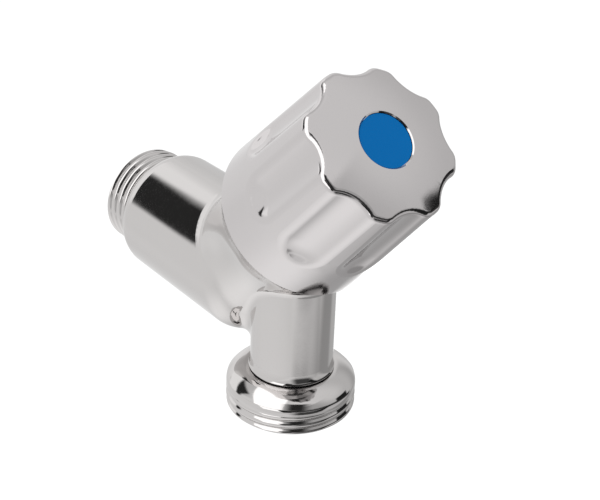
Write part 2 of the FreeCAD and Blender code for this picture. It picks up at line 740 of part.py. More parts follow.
def circlip(doc):
    """Open spring clip in the shaft groove above the neck."""
    body = new_body(doc, "circlip", "branch")
    turn(body, "clip", [
        ("spindle_shaft_radius - circlip_depth + laying_gap", "circlip_bottom + laying_gap / 2"),
        ("circlip_radius", "circlip_bottom + laying_gap / 2"),
        ("circlip_radius", "circlip_top - laying_gap / 2"),
        ("spindle_shaft_radius - circlip_depth + laying_gap", "circlip_top - laying_gap / 2"),
    ], sweep="circlip_sweep")
    return body


def handle(doc):
    """Fluted handle: a tapered shell with ball-ended flutes, rounded lobes, hub."""
    body = new_body(doc, "handle", "branch")
    turn(body, "shell_blank", [
        ("0", "handle_rim"),
        ("handle_rim_radius", "handle_rim"),
        ("handle_edge_radius", "handle_edge", ("x", "0")),
        ("0", "crown_top"),
    ])
    flute = cut_flute(body)
    repeat_round(body, "flutes", flute, "lobe_count")
    soften(body, "lobe_rounds", flute_edge_test(doc), "lobe_fillet")
    soften(body, "edge_rounds", top_edge_test(doc), "edge_round")
    turn(body, "cavity", [
        ("hub_radius", "hub_bottom"),
        ("hub_radius", "handle_edge - top_thickness"),
        ("cavity_radius", "handle_edge - top_thickness"),
        ("cavity_radius", "handle_rim + rim_cavity + cavity_cone"),
        ("rim_cavity_radius", "handle_rim + rim_cavity"),
        ("rim_cavity_radius", "handle_rim - stop_gap"),
        ("0", "handle_rim - stop_gap"),
        ("0", "hub_bottom"),
    ], cut=True)
    prism(body, "square_socket", polygon("spindle_square + 2 * laying_gap", 4),
          "hub_bottom - stop_gap", "square_top + laying_gap", cut=True)
    turn(body, "screw_hole", [
        ("0", "square_top"),
        ("screw_radius + thread_play", "square_top"),
        ("screw_radius + thread_play", "screw_seat"),
        ("screw_head_radius + stop_gap", "screw_seat"),
        ("screw_head_radius + stop_gap", "recess_floor"),
        ("recess_radius", "recess_floor"),
        ("recess_radius", "recess_edge - recess_break"),
        ("recess_radius + recess_break + stop_gap", "recess_edge + stop_gap"),
        ("0", "recess_edge + stop_gap"),
    ], cut=True)
    return body


def cut_flute(body):
    """Cut one flute: a round groove along the shell that ends in a ball."""
    sketch = new_sketch(body, "flute_section", "XZ_Plane")
    upright = FreeCAD.Vector(0, 1, 0)
    turned = FreeCAD.Rotation(upright, 1)
    sketch.AttachmentOffset = FreeCAD.Placement(FreeCAD.Vector(), turned)
    sketch.setExpression("AttachmentOffset.Rotation.Angle", linked("flute_bearing"))
    draw_outline(sketch, [
        ("ball_centre + flute_radius * lean_sin",
         "flute_ball - flute_radius * lean_cos", ("y", "flute_ball")),
        ("ball_centre - flute_radius * lean_cos",
         "flute_ball - flute_radius * lean_sin"),
        ("ball_centre - flute_radius * lean_cos - flute_run * lean_sin",
         "flute_ball - flute_radius * lean_sin + flute_run * lean_cos"),
        ("ball_centre - flute_run * lean_sin",
         "flute_ball + flute_run * lean_cos"),
    ])
    axis = sketch.Geometry[3]
    sketch.addGeometry(Part.LineSegment(axis.StartPoint, axis.EndPoint), True)
    for end in (1, 2):
        sketch.addConstraint(Sketcher.Constraint("Coincident", 3, end, 4, end))
    feature = body.newObject("PartDesign::Groove", "flute")
    feature.Profile = sketch
    feature.ReferenceAxis = (sketch, ["Axis0"])
    feature.Angle = 360
    body.Document.recompute()
    return feature


def flute_edge_test(doc):
    """Return a test for the edges between the flutes and the shell."""
    lowest = worth(doc, "handle_rim + rim_wall")
    highest = worth(doc, "handle_edge - edge_round / 2")

    def test(edge):
        inside = lowest < edge.CenterOfMass.z < highest
        return inside and edge.Curve.TypeId == "Part::GeomBSplineCurve"
    return test


def top_edge_test(doc):
    """Return a test for the edges between the sides and the domed top."""
    lowest = worth(doc, "handle_edge - stop_gap")
    highest = worth(doc, "handle_edge + 0.6 * crown_height")

    def test(edge):
        return edge.BoundBox.ZMin > lowest and edge.BoundBox.ZMax < highest
    return test


def handle_screw(doc):
    """Socket-head screw that holds the handle on the spindle."""
    body = new_body(doc, "handle_screw", "branch")
    turn(body, "screw", [
        ("0", "screw_tip"),
        ("screw_radius", "screw_tip"),
        ("screw_radius", "screw_seat + laying_gap"),
        ("screw_head_radius", "screw_seat + laying_gap"),
        ("screw_head_radius", "screw_seat + screw_head_height"),
        ("0", "screw_seat + screw_head_height"),
    ])
    head_top = "screw_seat + screw_head_height"
    prism(body, "socket", polygon("screw_slot_flats", 6),
          f"{head_top} - screw_slot_depth", f"{head_top} + stop_gap", cut=True)
    return body


def index_disc(doc):
    """Coloured disc pressed into the top of the handle."""
    body = new_body(doc, "index_disc", "branch")
    floor = "recess_floor + laying_gap"
    skirt = "screw_head_radius + stop_gap - laying_gap"
    turn(body, "disc", [
        ("0", floor),
        (f"{skirt} - disc_skirt_wall", floor),
        (f"{skirt} - disc_skirt_wall", f"{floor} - disc_skirt_height"),
        (skirt, f"{floor} - disc_skirt_height"),
        (skirt, floor),
        ("disc_radius", floor),
        ("disc_radius", "disc_top"),
        ("0", "disc_top"),
    ])
    return body


def outlet_adapter(doc):
    """Screwed hose adapter: nipple, domed collar, hose thread and mouth."""
    body = new_body(doc, "outlet_adapter", "spout")
    groove_inner = "adapter_ring_radius - adapter_groove_width / 2"
    groove_outer = "adapter_ring_radius + adapter_groove_width / 2"
    turn(body, "adapter", [
        ("nipple_bore_radius", "nipple_top"),
        ("nipple_radius", "nipple_top"),
        ("nipple_radius", "collar_face - adapter_groove_depth"),
        (groove_outer, "collar_face - adapter_groove_depth"),
        (groove_outer, "collar_face"),
        ("collar_top_radius", "collar_face"),
        ("collar_cone_radius", "collar_face - collar_cone_height", ("y", "thread_start")),
        ("hose_thread_radius", "thread_start"),
        ("hose_thread_radius", "adapter_end + thread_lead"),
        ("hose_thread_radius - thread_lead", "adapter_end"),
        ("mouth_radius", "adapter_end"),
        ("mouth_radius", "adapter_end + mouth_depth"),
        ("nipple_bore_radius", "adapter_end + mouth_depth"),
    ])
    return body


def check_housing(doc):
    """Housing of the backflow cartridge, with the poppet seat and a ring groove."""
    body = new_body(doc, "check_housing", "spout")
    turn(body, "housing", [
        ("cartridge_throat", "cartridge_top"),
        ("cartridge_radius", "cartridge_top"),
        ("cartridge_radius", "cartridge_end"),
        ("cartridge_inside", "cartridge_end"),
        ("cartridge_inside", "poppet_seat"),
        ("cartridge_throat", "poppet_seat"),
    ])
    ring_groove(body, "ring_groove", "(cartridge_top - cartridge_groove)",
                "cartridge_bore_radius - cartridge_ring_cord", "(cartridge_ring_cord + stop_gap)",
                "cartridge_bore_radius")
    return body


def check_guide(doc):
    """Perforated plate that guides the poppet stem and carries the spring."""
    body = new_body(doc, "check_guide", "spout")
    turn(body, "plate", [
        ("poppet_stem_radius + running_play", "cartridge_end"),
        ("guide_radius", "cartridge_end"),
        ("guide_radius", "guide_top"),
        ("poppet_stem_radius + running_play", "guide_top"),
    ])
    hole = drill(body, "water_hole", "guide_hole_radius", "guide_hole_ring",
                 "cartridge_end", "guide_top")
    repeat_round(body, "water_holes", hole, "guide_hole_count")
    return body


def check_poppet(doc):
    """Poppet with a nose in the throat and a stem in the guide plate."""
    body = new_body(doc, "check_poppet", "spout")
    nose_top = "poppet_head_top + poppet_nose_height"
    turn(body, "poppet", [
        ("0", nose_top),
        ("poppet_nose_radius / 2", nose_top),
        ("poppet_nose_radius", "poppet_head_top + poppet_nose_height / 2"),
        ("poppet_nose_radius", "poppet_head_top"),
        ("poppet_radius", "poppet_head_top"),
        ("poppet_radius", "poppet_head_end"),
        ("poppet_stem_radius", "poppet_head_end"),
        ("poppet_stem_radius", "cartridge_end"),
        ("0", "cartridge_end"),
    ])
    return body


def poppet_seal(doc):
    """Rubber lip ring that lies on the poppet head."""
    body = new_body(doc, "poppet_seal", "spout")
    turn(body, "lip_ring", [
        ("poppet_nose_radius + laying_gap", "poppet_head_top + laying_gap"),
        ("poppet_radius", "poppet_head_top + laying_gap"),
        ("poppet_radius", "poppet_seal_top"),
        ("poppet_nose_radius + laying_gap", "poppet_seal_top"),
    ])
    return body


def check_spring(doc):
    """Poppet spring: wire wound between the poppet head and the guide plate."""
    body = new_body(doc, "check_spring", "spout")
    start = "(spring_end + spring_wire_radius)"
    section = polygon("2 * spring_wire_radius", WIRE_SIDES)
    sketch = new_sketch(body, "wire_section", SIDE_PLANE)
    draw_outline(sketch, [(f"spring_coil_radius + {x}", f"{start} + {y}") for x, y in section])
    wire = body.newObject("PartDesign::AdditiveHelix", "wire")
    wire.Profile = sketch
    wire.ReferenceAxis = (sketch, ["V_Axis"])
    wire.Mode = "height-turns-angle"
    wire.setExpression("Height", linked(f"spring_top - spring_wire_radius - {start}"))
    wire.setExpression("Turns", linked("spring_turns"))
    body.Document.recompute()
    return body


def build(doc):
    """Build every piece of the tap and return them."""
    fill_sheets(doc)
    pieces = [valve_body(doc), headwork(doc), headwork_seal(doc)]
    pieces += [piston(doc), seat_washer(doc), washer_screw(doc)]
    pieces += [spindle(doc), slip_ring(doc), circlip(doc)]
    for name in ("lower_ring", "upper_ring"):
        pieces.append(sealing_ring(doc, "spindle_" + name, "branch",
                                   "ring_groove_floor + ring_cord / 2",
                                   "ring_cord - laying_gap", name))
    pieces += [handle(doc), handle_screw(doc), index_disc(doc)]
    pieces += [outlet_adapter(doc)]
    pieces.append(sealing_ring(doc, "adapter_ring", "spout", "adapter_ring_radius",
                               "adapter_ring_cord", "collar_face - adapter_groove_depth"
                               " + adapter_ring_cord / 2 + laying_gap / 2"))
    pieces += [check_housing(doc), check_guide(doc), check_poppet(doc)]
    pieces += [poppet_seal(doc), check_spring(doc)]
    pieces.append(sealing_ring(doc, "check_ring", "spout",
                               "cartridge_bore_radius - cartridge_ring_cord / 2 - laying_gap / 2",
                               "cartridge_ring_cord - laying_gap",
                               "cartridge_top - cartridge_groove"))
    doc.recompute()
    return pieces


def check(doc, pieces):
    """Stop if any object failed or any piece is not a sound solid."""
    for item in doc.Objects:
        if "Invalid" in item.State or "Error" in item.State:
            sys.exit(f"{item.Label}: {item.State}")
    for piece in pieces:
        shape = piece.Shape
        if shape.isNull() or not shape.isValid() or not shape.Solids:
            sys.exit(f"{piece.Label}: no sound solid")


def export(pieces):
    """Write each piece to its own file."""
    os.makedirs("parts", exist_ok=True)
    for piece in pieces:
        piece.Shape.exportStep(f"parts/{piece.Label}.step")


tap = FreeCAD.newDocument("wall_tap")
tap_pieces = build(tap)
check(tap, tap_pieces)
export(tap_pieces)
for tap_piece in tap_pieces:
    print(f"{tap_piece.Label}: {len(tap_piece.Shape.Solids)} solid, {tap_piece.Shape.Volume:.1f} mm3")
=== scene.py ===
"""Outdoor wall tap: threads, finishes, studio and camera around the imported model.

Lengths are in metres. The x axis points right as one faces the tap, y points
towards the wall, z points up, and the origin lies on the inlet's axis at the
shoulder behind its thread.
"""

import json
import logging
import math
from dataclasses import dataclass, field
from enum import Enum

import bpy
from mathutils import Matrix, Vector
from mathutils.kdtree import KDTree

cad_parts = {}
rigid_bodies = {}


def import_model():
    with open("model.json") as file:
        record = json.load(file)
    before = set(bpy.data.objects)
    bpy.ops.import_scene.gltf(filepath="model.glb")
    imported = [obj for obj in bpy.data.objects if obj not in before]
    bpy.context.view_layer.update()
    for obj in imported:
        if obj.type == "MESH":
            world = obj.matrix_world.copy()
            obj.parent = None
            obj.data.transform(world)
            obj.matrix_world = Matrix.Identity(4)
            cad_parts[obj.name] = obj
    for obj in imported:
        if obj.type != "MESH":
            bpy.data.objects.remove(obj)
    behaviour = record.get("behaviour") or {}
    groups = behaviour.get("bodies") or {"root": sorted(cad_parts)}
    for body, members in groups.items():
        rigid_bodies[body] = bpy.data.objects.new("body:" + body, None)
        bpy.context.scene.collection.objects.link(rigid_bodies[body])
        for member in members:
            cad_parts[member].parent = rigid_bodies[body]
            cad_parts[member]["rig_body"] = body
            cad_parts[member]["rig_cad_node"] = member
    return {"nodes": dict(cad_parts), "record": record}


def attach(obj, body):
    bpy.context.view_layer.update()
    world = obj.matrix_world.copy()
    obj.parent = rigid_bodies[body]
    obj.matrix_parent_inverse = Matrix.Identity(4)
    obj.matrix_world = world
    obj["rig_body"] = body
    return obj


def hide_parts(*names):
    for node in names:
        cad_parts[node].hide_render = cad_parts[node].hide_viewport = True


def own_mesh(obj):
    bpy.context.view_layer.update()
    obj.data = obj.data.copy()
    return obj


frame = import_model()

logging.basicConfig(level=logging.INFO, format="%(message)s")
LOG = logging.getLogger("wall_tap")

MILLIMETRE = 0.001
WELD = 1e-7
SPOUT_AXIS_Y = -43.1 * MILLIMETRE
Point = tuple[float, float]
Colour = tuple[float, float, float]


class Axis(Enum):
    """The direction in which a turned piece's own z axis ends up."""

    WALL = (-math.pi / 2, 0.0, 0.0)
    DOWN = (math.pi, 0.0, 0.0)


def deselect() -> None:
    """Leave edit mode and deselect every object."""
    active = bpy.context.view_layer.objects.active
    if active is not None and active.mode != "OBJECT":
        bpy.ops.object.mode_set(mode="OBJECT")
    bpy.ops.object.select_all(action="DESELECT")


def pick(piece: bpy.types.Object) -> None:
    """Make one object the only selected one, and the active one."""
    deselect()
    piece.select_set(True)
    bpy.context.view_layer.objects.active = piece


def open_mesh(piece: bpy.types.Object) -> None:
    """Open an object in edit mode, with all of its mesh selected.

    Args:
        piece: The object to edit.
    """
    pick(piece)
    bpy.ops.object.mode_set(mode="EDIT")
    bpy.ops.mesh.select_mode(type="VERT")
    bpy.ops.mesh.select_all(action="SELECT")


def close_mesh() -> None:
    """Go back to object mode."""
    bpy.ops.object.mode_set(mode="OBJECT")


def apply_modifier(piece: bpy.types.Object, kind: str, **settings: object) -> None:
    """Add a modifier to an object and apply it at once.

    Args:
        piece: The object to change.
        kind: The modifier's type, as the operator names it.
        settings: The modifier's own settings by name.
    """
    pick(piece)
    modifier = piece.modifiers.new(kind.lower(), kind)
    for name, value in settings.items():
        setattr(modifier, name, value)
    bpy.ops.object.modifier_apply(modifier=modifier.name)


def copy_node(name: str) -> bpy.types.Object:
    """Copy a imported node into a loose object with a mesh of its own.

    Args:
        name: The node's name.

    Returns:
        The copy, which is active and belongs to no body yet.
    """
    pick(frame["nodes"][name])
    bpy.ops.object.duplicate()
    copy = bpy.context.active_object
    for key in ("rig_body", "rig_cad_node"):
        if key in copy:
            del copy[key]
    copy.parent = None
    return copy


def carry_directions(source: bpy.types.Object, copy: bpy.types.Object) -> None:
    """Give a cut copy the surface directions of its source, corner by corner.

    Args:
        source: The piece with the right directions at its corners.
        copy: Its welded and cut copy, in the same place.
    """
    given = source.data
    tree = KDTree(len(given.vertices))
    for vertex in given.vertices:
        tree.insert(vertex.co, vertex.index)
    tree.balance()
    corners: dict[int, list[tuple[Vector, Vector]]] = {}
    for face in given.polygons:
        for index in face.loop_indices:
            corner = (face.normal.copy(), given.corner_normals[index].vector.copy())
            corners.setdefault(given.loops[index].vertex_index, []).append(corner)
    shape = copy.data
    near = [
        [corner for _, index, _ in tree.find_range(vertex.co, 3 * WELD)
         for corner in corners.get(index, [])]
        for vertex in shape.vertices]
    directions = [Vector()] * len(shape.loops)
    for face in shape.polygons:
        for index in face.loop_indices:
            best = max(
                near[shape.loops[index].vertex_index],
                key=lambda corner: corner[0].dot(face.normal), default=(None, face.normal))
            directions[index] = best[1].copy()
    shape.normals_split_custom_set(directions)


def draw_profile(name: str, points: list[Point], closed: bool) -> bpy.types.Object:
    """Draw a profile in the xz plane by extruding one vertex along it.

    Args:
        name: The new object's name.
        points: Radius and height of each corner, in order.
        closed: Whether the last corner joins the first one.

    Returns:
        The object that holds the profile's edges.
    """
    deselect()
    first = points[0]
    bpy.ops.mesh.primitive_plane_add(size=MILLIMETRE, location=(first[0], 0, first[1]))
    piece = bpy.context.active_object
    piece.name = name
    pick(piece)
    bpy.ops.object.transform_apply(location=True, rotation=True, scale=True)
    open_mesh(piece)
    bpy.ops.mesh.merge(type="CENTER")
    path = points + points[:1] if closed else points
    for (r0, z0), (r1, z1) in zip(path, path[1:]):
        step = (r1 - r0, 0.0, z1 - z0)
        bpy.ops.mesh.extrude_region_move(TRANSFORM_OT_translate={"value": step})
    bpy.ops.mesh.select_all(action="SELECT")
    bpy.ops.mesh.remove_doubles(threshold=WELD)
    close_mesh()
    return piece


def lathe(name: str, points: list[Point], steps: int) -> bpy.types.Object:
    """Spin a closed profile round the z axis into a ring.

    Args:
        name: The new object's name.
        points: Radius and height of each corner, in order.
        steps: The number of faces round the ring.

    Returns:
        The turned object, with its faces outwards.
    """
    piece = draw_profile(name, points, closed=True)
    open_mesh(piece)
    bpy.ops.mesh.spin(steps=steps, angle=math.tau, center=(0, 0, 0), axis=(0, 0, 1))
    bpy.ops.mesh.select_all(action="SELECT")
    bpy.ops.mesh.remove_doubles(threshold=WELD)
    bpy.ops.mesh.normals_make_consistent(inside=False)
    close_mesh()
    return piece


def place(piece: bpy.types.Object, axis: Axis, at: Vector) -> None:
    """Turn and move a piece, and put its place into its mesh.

    Args:
        piece: The object, made along its own z axis.
        axis: Where its z axis points afterwards.
        at: Where its own origin goes.
    """
    pick(piece)
    piece.rotation_euler = axis.value
    piece.location = at
    bpy.ops.object.transform_apply(location=True, rotation=True, scale=True)


def dress(piece: bpy.types.Object, material: bpy.types.Material) -> None:
    """Put one material on all of an object's slots.

    Args:
        piece: The object to dress.
        material: The material that it takes.
    """
    if not piece.material_slots:
        piece.data.materials.append(material)
    for slot in piece.material_slots:
        slot.material = material


class Sheet:
    """A material's or world's nodes, added and joined by short calls."""

    def __init__(self, tree: bpy.types.NodeTree) -> None:
        """Start on an empty node tree."""
        self.tree = tree
        self.tree.nodes.clear()

    def add(self, kind: str, **settings: object) -> bpy.types.Node:
        """Add a node.

        Args:
            kind: The node's type.
            settings: Its own settings by name.

        Returns:
            The new node.
        """
        node = self.tree.nodes.new(kind)
        for name, value in settings.items():
            setattr(node, name, value)
        return node

    def join(self, output: bpy.types.NodeSocket, target: bpy.types.NodeSocket) -> None:
        """Link an output to an input."""
        self.tree.links.new(output, target)

    def feed(self, node: bpy.types.Node, **inputs: object) -> bpy.types.Node:
        """Give a node's inputs values or links.

        Args:
            node: The node to feed.
            inputs: A value or an output by the input's name, with underscores
                for spaces, or by its number after the letter i.

        Returns:
            The same node.
        """
        for name, value in inputs.items():
            numbered = name[0] == "i" and name[1:].isdigit()
            key = int(name[1:]) if numbered else name.replace("_", " ")
            if isinstance(value, bpy.types.NodeSocket):
                self.join(value, node.inputs[key])
            else:
                node.inputs[key].default_value = value
        return node

    def sum(self, operation: str, *values: object) -> bpy.types.NodeSocket:
        """Add a math node and return its output."""
        node = self.add("ShaderNodeMath", operation=operation)
        self.feed(node, **{f"i{n}": value for n, value in enumerate(values)})
        return node.outputs[0]

    def ramp(self, value: object, low: float, high: float, to_low: float, to_high: float,
             smooth: bool = False) -> bpy.types.NodeSocket:
        """Add a map range node and return its output.

        Args:
            value: What is mapped.
            low: The value that gives to_low.
            high: The value that gives to_high.
            to_low: The first end of the result.
            to_high: The other end of the result.
            smooth: Whether the ends are eased.

        Returns:
            The output socket.
        """
        kind = "SMOOTHSTEP" if smooth else "LINEAR"
        node = self.add("ShaderNodeMapRange", interpolation_type=kind)
        self.feed(node, i0=value, i1=low, i2=high, i3=to_low, i4=to_high)
        return node.outputs[0]

    def noise(self, where: bpy.types.NodeSocket, scale: float, detail: float,
              rough: float = 0.5) -> bpy.types.NodeSocket:
        """Add a noise texture and return its value."""
        node = self.add("ShaderNodeTexNoise")
        self.feed(node, Vector=where, Scale=scale, Detail=detail, Roughness=rough)
        return node.outputs[0]


@dataclass(frozen=True)
class Finish:
    """What every finish shares: a name, a colour and the way it is built."""

    name: str
    colour: Colour
    shade: float = 0.9
    patch_scale: float = 90.0
    rough_low: float = 0.04
    rough_high: float = 0.08
    grain_scale: float = 4000.0
    grain_height: float = 0.02

    def surface(self, sheet: Sheet, where: bpy.types.NodeSocket) -> bpy.types.Node:
        """Build the colour, roughness and bump that all finishes have.

        Args:
            sheet: The material's nodes.
            where: Object coordinates.

        Returns:
            The shader, with its output linked.
        """
        shader = sheet.add("ShaderNodeBsdfPrincipled")
        output = sheet.add("ShaderNodeOutputMaterial")
        sheet.join(shader.outputs[0], output.inputs["Surface"])
        patches = sheet.noise(where, self.patch_scale, 3.0)
        mix = sheet.add("ShaderNodeMix", data_type="RGBA")
        darker = tuple(channel * self.shade for channel in self.colour)
        sheet.feed(mix, i0=patches, i6=(*darker, 1.0), i7=(*self.colour, 1.0))
        sheet.join(mix.outputs[2], shader.inputs["Base Color"])
        spread = sheet.noise(where, self.patch_scale * 6.0, 4.0, 0.6)
        rough = sheet.ramp(spread, 0.3, 0.7, self.rough_low, self.rough_high)
        sheet.join(rough, shader.inputs["Roughness"])
        grain = sheet.noise(where, self.grain_scale, 3.0, 0.6)
        bump = sheet.add("ShaderNodeBump")
        sheet.feed(bump, Strength=self.grain_height, Distance=0.0001, Height=grain)
        sheet.join(bump.outputs[0], shader.inputs["Normal"])
        return shader

    def trim(self, sheet: Sheet, shader: bpy.types.Node, where: bpy.types.NodeSocket) -> None:
        """Set what is this finish's own; a plain finish adds nothing."""

    def make(self) -> bpy.types.Material:
        """Build the material.

        Returns:
            The finished material.
        """
        material = bpy.data.materials.new(self.name)
        material.use_nodes = True
        sheet = Sheet(material.node_tree)
        where = sheet.add("ShaderNodeTexCoord").outputs["Object"]
        shader = self.surface(sheet, where)
        self.trim(sheet, shader, where)
        material.diffuse_color = (*self.colour, 1.0)
        return material


@dataclass(frozen=True)
class Chrome(Finish):
    """Polished plating, with the slow waviness of the metal under it."""

    wave_scale: float = 110.0
    wave_height: float = 0.00002

    def trim(self, sheet: Sheet, shader: bpy.types.Node, where: bpy.types.NodeSocket) -> None:
        """Make it metal, and lay slow waves under the fine polish marks."""
        shader.inputs["Metallic"].default_value = 1.0
        waves = sheet.noise(where, self.wave_scale, 1.0)
        slow = sheet.add("ShaderNodeBump")
        sheet.feed(slow, Strength=1.0, Distance=self.wave_height, Height=waves)
        fine = shader.inputs["Normal"].links[0].from_node
        sheet.join(slow.outputs[0], fine.inputs["Normal"])


@dataclass(frozen=True)
class TurnedMetal(Finish):
    """Bare metal with the fine rings that a lathe leaves along an axis."""

    axis: Colour = (0.0, -0.669131, 0.743145)
    ring_pitch: float = 0.00025
    ring_height: float = 0.12

    def trim(self, sheet: Sheet, shader: bpy.types.Node, where: bpy.types.NodeSocket) -> None:
        """Make it metal, and add rings spaced along the piece's axis."""
        shader.inputs["Metallic"].default_value = 1.0
        along = sheet.add("ShaderNodeVectorMath", operation="DOT_PRODUCT")
        sheet.feed(along, i0=where, i1=self.axis)
        phase = sheet.sum("MULTIPLY", along.outputs["Value"], math.tau / self.ring_pitch)
        rings = sheet.sum("SINE", phase)
        bump = sheet.add("ShaderNodeBump")
        sheet.feed(bump, Strength=self.ring_height, Distance=0.00002, Height=rings)
        fine = shader.inputs["Normal"].links[0].from_node
        sheet.join(bump.outputs[0], fine.inputs["Normal"])


@dataclass(frozen=True)
class Moulded(Finish):
    """Moulded plastic, rubber or pressed fibre."""

    specular: float = 0.5

    def trim(self, sheet: Sheet, shader: bpy.types.Node, where: bpy.types.NodeSocket) -> None:
        """Make it a plain dielectric with its own strength of gloss."""
        shader.inputs["Metallic"].default_value = 0.0
        shader.inputs["Specular IOR Level"].default_value = self.specular


class Finishes(Enum):
    """Every finish on the tap."""

    BODY_CHROME = Chrome("body_chrome", (0.58, 0.563, 0.556), shade=0.97)
    HANDLE_CHROME = Chrome(
        "handle_chrome", (0.583, 0.561, 0.561), shade=0.97, wave_height=0.00001)
    BRASS = TurnedMetal("turned_brass", (0.62, 0.43, 0.19), rough_low=0.2, rough_high=0.34)
    SPRING_STEEL = TurnedMetal(
        "spring_steel", (0.5, 0.49, 0.47), rough_low=0.18, rough_high=0.3, ring_height=0.02)
    RUBBER = Moulded(
        "black_rubber", (0.022, 0.022, 0.024), shade=0.7, rough_low=0.5, rough_high=0.7,
        grain_height=0.1)
    FIBRE = Moulded(
        "pressed_fibre", (0.33, 0.06, 0.035), shade=0.6, rough_low=0.6, rough_high=0.8,
        grain_height=0.3)
    SLIP_PLASTIC = Moulded("slip_plastic", (0.72, 0.71, 0.68), rough_low=0.3, rough_high=0.45)
    BLUE_PLASTIC = Moulded(
        "blue_plastic", (0.0, 0.14, 0.43), shade=0.92, patch_scale=140.0, rough_low=0.3,
        rough_high=0.4, specular=0.08)
    CARTRIDGE_PLASTIC = Moulded(
        "cartridge_plastic", (0.55, 0.56, 0.56), rough_low=0.3, rough_high=0.42)


SLOT_FINISH = {
    "chromed_brass": Finishes.BODY_CHROME,
    "chromed_zinc": Finishes.HANDLE_CHROME,
    "brass": Finishes.BRASS,
    "spring_steel": Finishes.SPRING_STEEL,
    "rubber": Finishes.RUBBER,
    "fibre": Finishes.FIBRE,
    "slip_plastic": Finishes.SLIP_PLASTIC,
    "blue_plastic": Finishes.BLUE_PLASTIC,
    "cartridge_plastic": Finishes.CARTRIDGE_PLASTIC,
}


class Paints:
    """The finished materials, each built once."""

    def __init__(self) -> None:
        """Build every material."""
        self.made = {finish: finish.value.make() for finish in Finishes}

    def of_slot(self, slot: str) -> bpy.types.Material:
        """Return the material that stands for one of the record's slots."""
        return self.made[SLOT_FINISH[slot]]


@dataclass
class PipeThread:
    """A ring with a worn, well rounded pipe thread outside and a plain bore."""

    name: str
    axis: Axis
    foot: Vector
    major_radius: float
    bore_radius: float
    length: float
    crest_radius: float
    root_radius: float
    flank_angle: float
    phase: float = 0.0
    neck_width: float = 0.35 * MILLIMETRE
    pitch: float = 1.814 * MILLIMETRE
    lead_chamfer: float = 0.7 * MILLIMETRE
    blank_margin: float = 0.05 * MILLIMETRE
    arc_steps: int = 7
    turn_steps: int = 128
    spare_turns: int = 4
    smooth_angle: float = 34.0

    @property
    def depth(self) -> float:
        """Depth of the thread, from its two arcs and the flank between them."""
        flank = math.radians(self.flank_angle)
        arcs = self.crest_radius + self.root_radius
        straight = self.pitch / 2 - arcs * math.sin(flank)
        return arcs * (1 - math.cos(flank)) + straight * math.tan(flank)

    def wave(self) -> list[Point]:
        """Work out one pitch of the thread, from crest to crest.

        Returns:
            Radius and height of each point.
        """
        flank = math.radians(self.flank_angle)
        crest_centre = self.major_radius - self.crest_radius
        root_centre = self.major_radius - self.depth + self.root_radius
        turns = [flank * n / self.arc_steps for n in range(self.arc_steps + 1)]
        half = [
            (crest_centre + self.crest_radius * math.cos(a), self.crest_radius * math.sin(a))
            for a in turns]
        half += [
            (root_centre - self.root_radius * math.cos(a),
             self.pitch / 2 - self.root_radius * math.sin(a))
            for a in reversed(turns)]
        return half + [(r, self.pitch - z) for r, z in reversed(half[:-1])]

    def rod(self) -> bpy.types.Object:
        """Make a solid threaded rod, longer than the ring at both ends.

        Returns:
            The closed rod.
        """
        turns = math.ceil(self.length / self.pitch) + self.spare_turns
        rod = draw_profile(self.name, self.wave(), closed=False)
        apply_modifier(
            rod, "SCREW", axis="Z", angle=math.tau, screw_offset=self.pitch, iterations=turns,
            steps=self.turn_steps, render_steps=self.turn_steps, use_merge_vertices=True,
            merge_threshold=WELD)
        ends = ((self.pitch, False, True), ((turns - 1) * self.pitch, True, False))
        for height, clear_above, clear_below in ends:
            open_mesh(rod)
            bpy.ops.mesh.remove_doubles(threshold=WELD)
            bpy.ops.mesh.bisect(
                plane_co=(0, 0, height), plane_no=(0, 0, 1), use_fill=True, clear_outer=clear_above,
                clear_inner=clear_below)
            close_mesh()
        open_mesh(rod)
        bpy.ops.transform.translate(value=(0, 0, self.phase - 1.5 * self.pitch))
        bpy.ops.mesh.normals_make_consistent(inside=False)
        close_mesh()
        return rod

    def blank(self) -> bpy.types.Object:
        """Make the plain ring that the thread is cut in.

        Returns:
            The closed ring, with its lead chamfer and its neck.
        """
        clear = self.major_radius + self.blank_margin
        neck = self.major_radius - self.depth
        tip = self.major_radius - self.lead_chamfer
        foot = [(neck, 0.0), (neck, self.neck_width), (clear, self.neck_width + self.depth)]
        corners = [
            (self.bore_radius, 0.0),
            *(foot if self.neck_width else [(clear, 0.0)]),
            (clear, self.length - self.lead_chamfer),
            (tip, self.length),
            (self.bore_radius, self.length),
        ]
        return lathe(self.name + "_blank", corners, self.turn_steps)

    def build(self) -> bpy.types.Object:
        """Cut the thread and put the ring in its place.

        Returns:
            The threaded ring.
        """
        rod = self.rod()
        blank = self.blank()
        apply_modifier(rod, "BOOLEAN", operation="INTERSECT", solver="EXACT", object=blank)
        bpy.data.objects.remove(blank)
        open_mesh(rod)
        bpy.ops.mesh.remove_doubles(threshold=WELD)
        bpy.ops.mesh.normals_make_consistent(inside=False)
        close_mesh()
        bpy.ops.object.shade_smooth_by_angle(angle=math.radians(self.smooth_angle))
        place(rod, self.axis, self.foot)
        return rod


@dataclass
class TurnedEnd:
    """A turned ring that finishes a piece where its packed end was cut off.

    Its points are radius and height, in millimetres.
    """

    name: str
    outside: tuple[Point, ...]
    inside: tuple[Point, ...]
    centre: Vector = field(default_factory=lambda: Vector((0, SPOUT_AXIS_Y, 0)))
    turn_steps: int = 128
    smooth_angle: float = 28.0

    def build(self) -> bpy.types.Object:
        """Turn the ring on the spout's axis.

        Returns:
            The closed ring.
        """
        corners = [(r * MILLIMETRE, z * MILLIMETRE) for r, z in self.outside + self.inside]
        ring = lathe(self.name, corners, self.turn_steps)
        open_mesh(ring)
        bpy.ops.transform.translate(value=self.centre)
        close_mesh()
        pick(ring)
        bpy.ops.object.shade_smooth_by_angle(angle=math.radians(self.smooth_angle))
        return ring


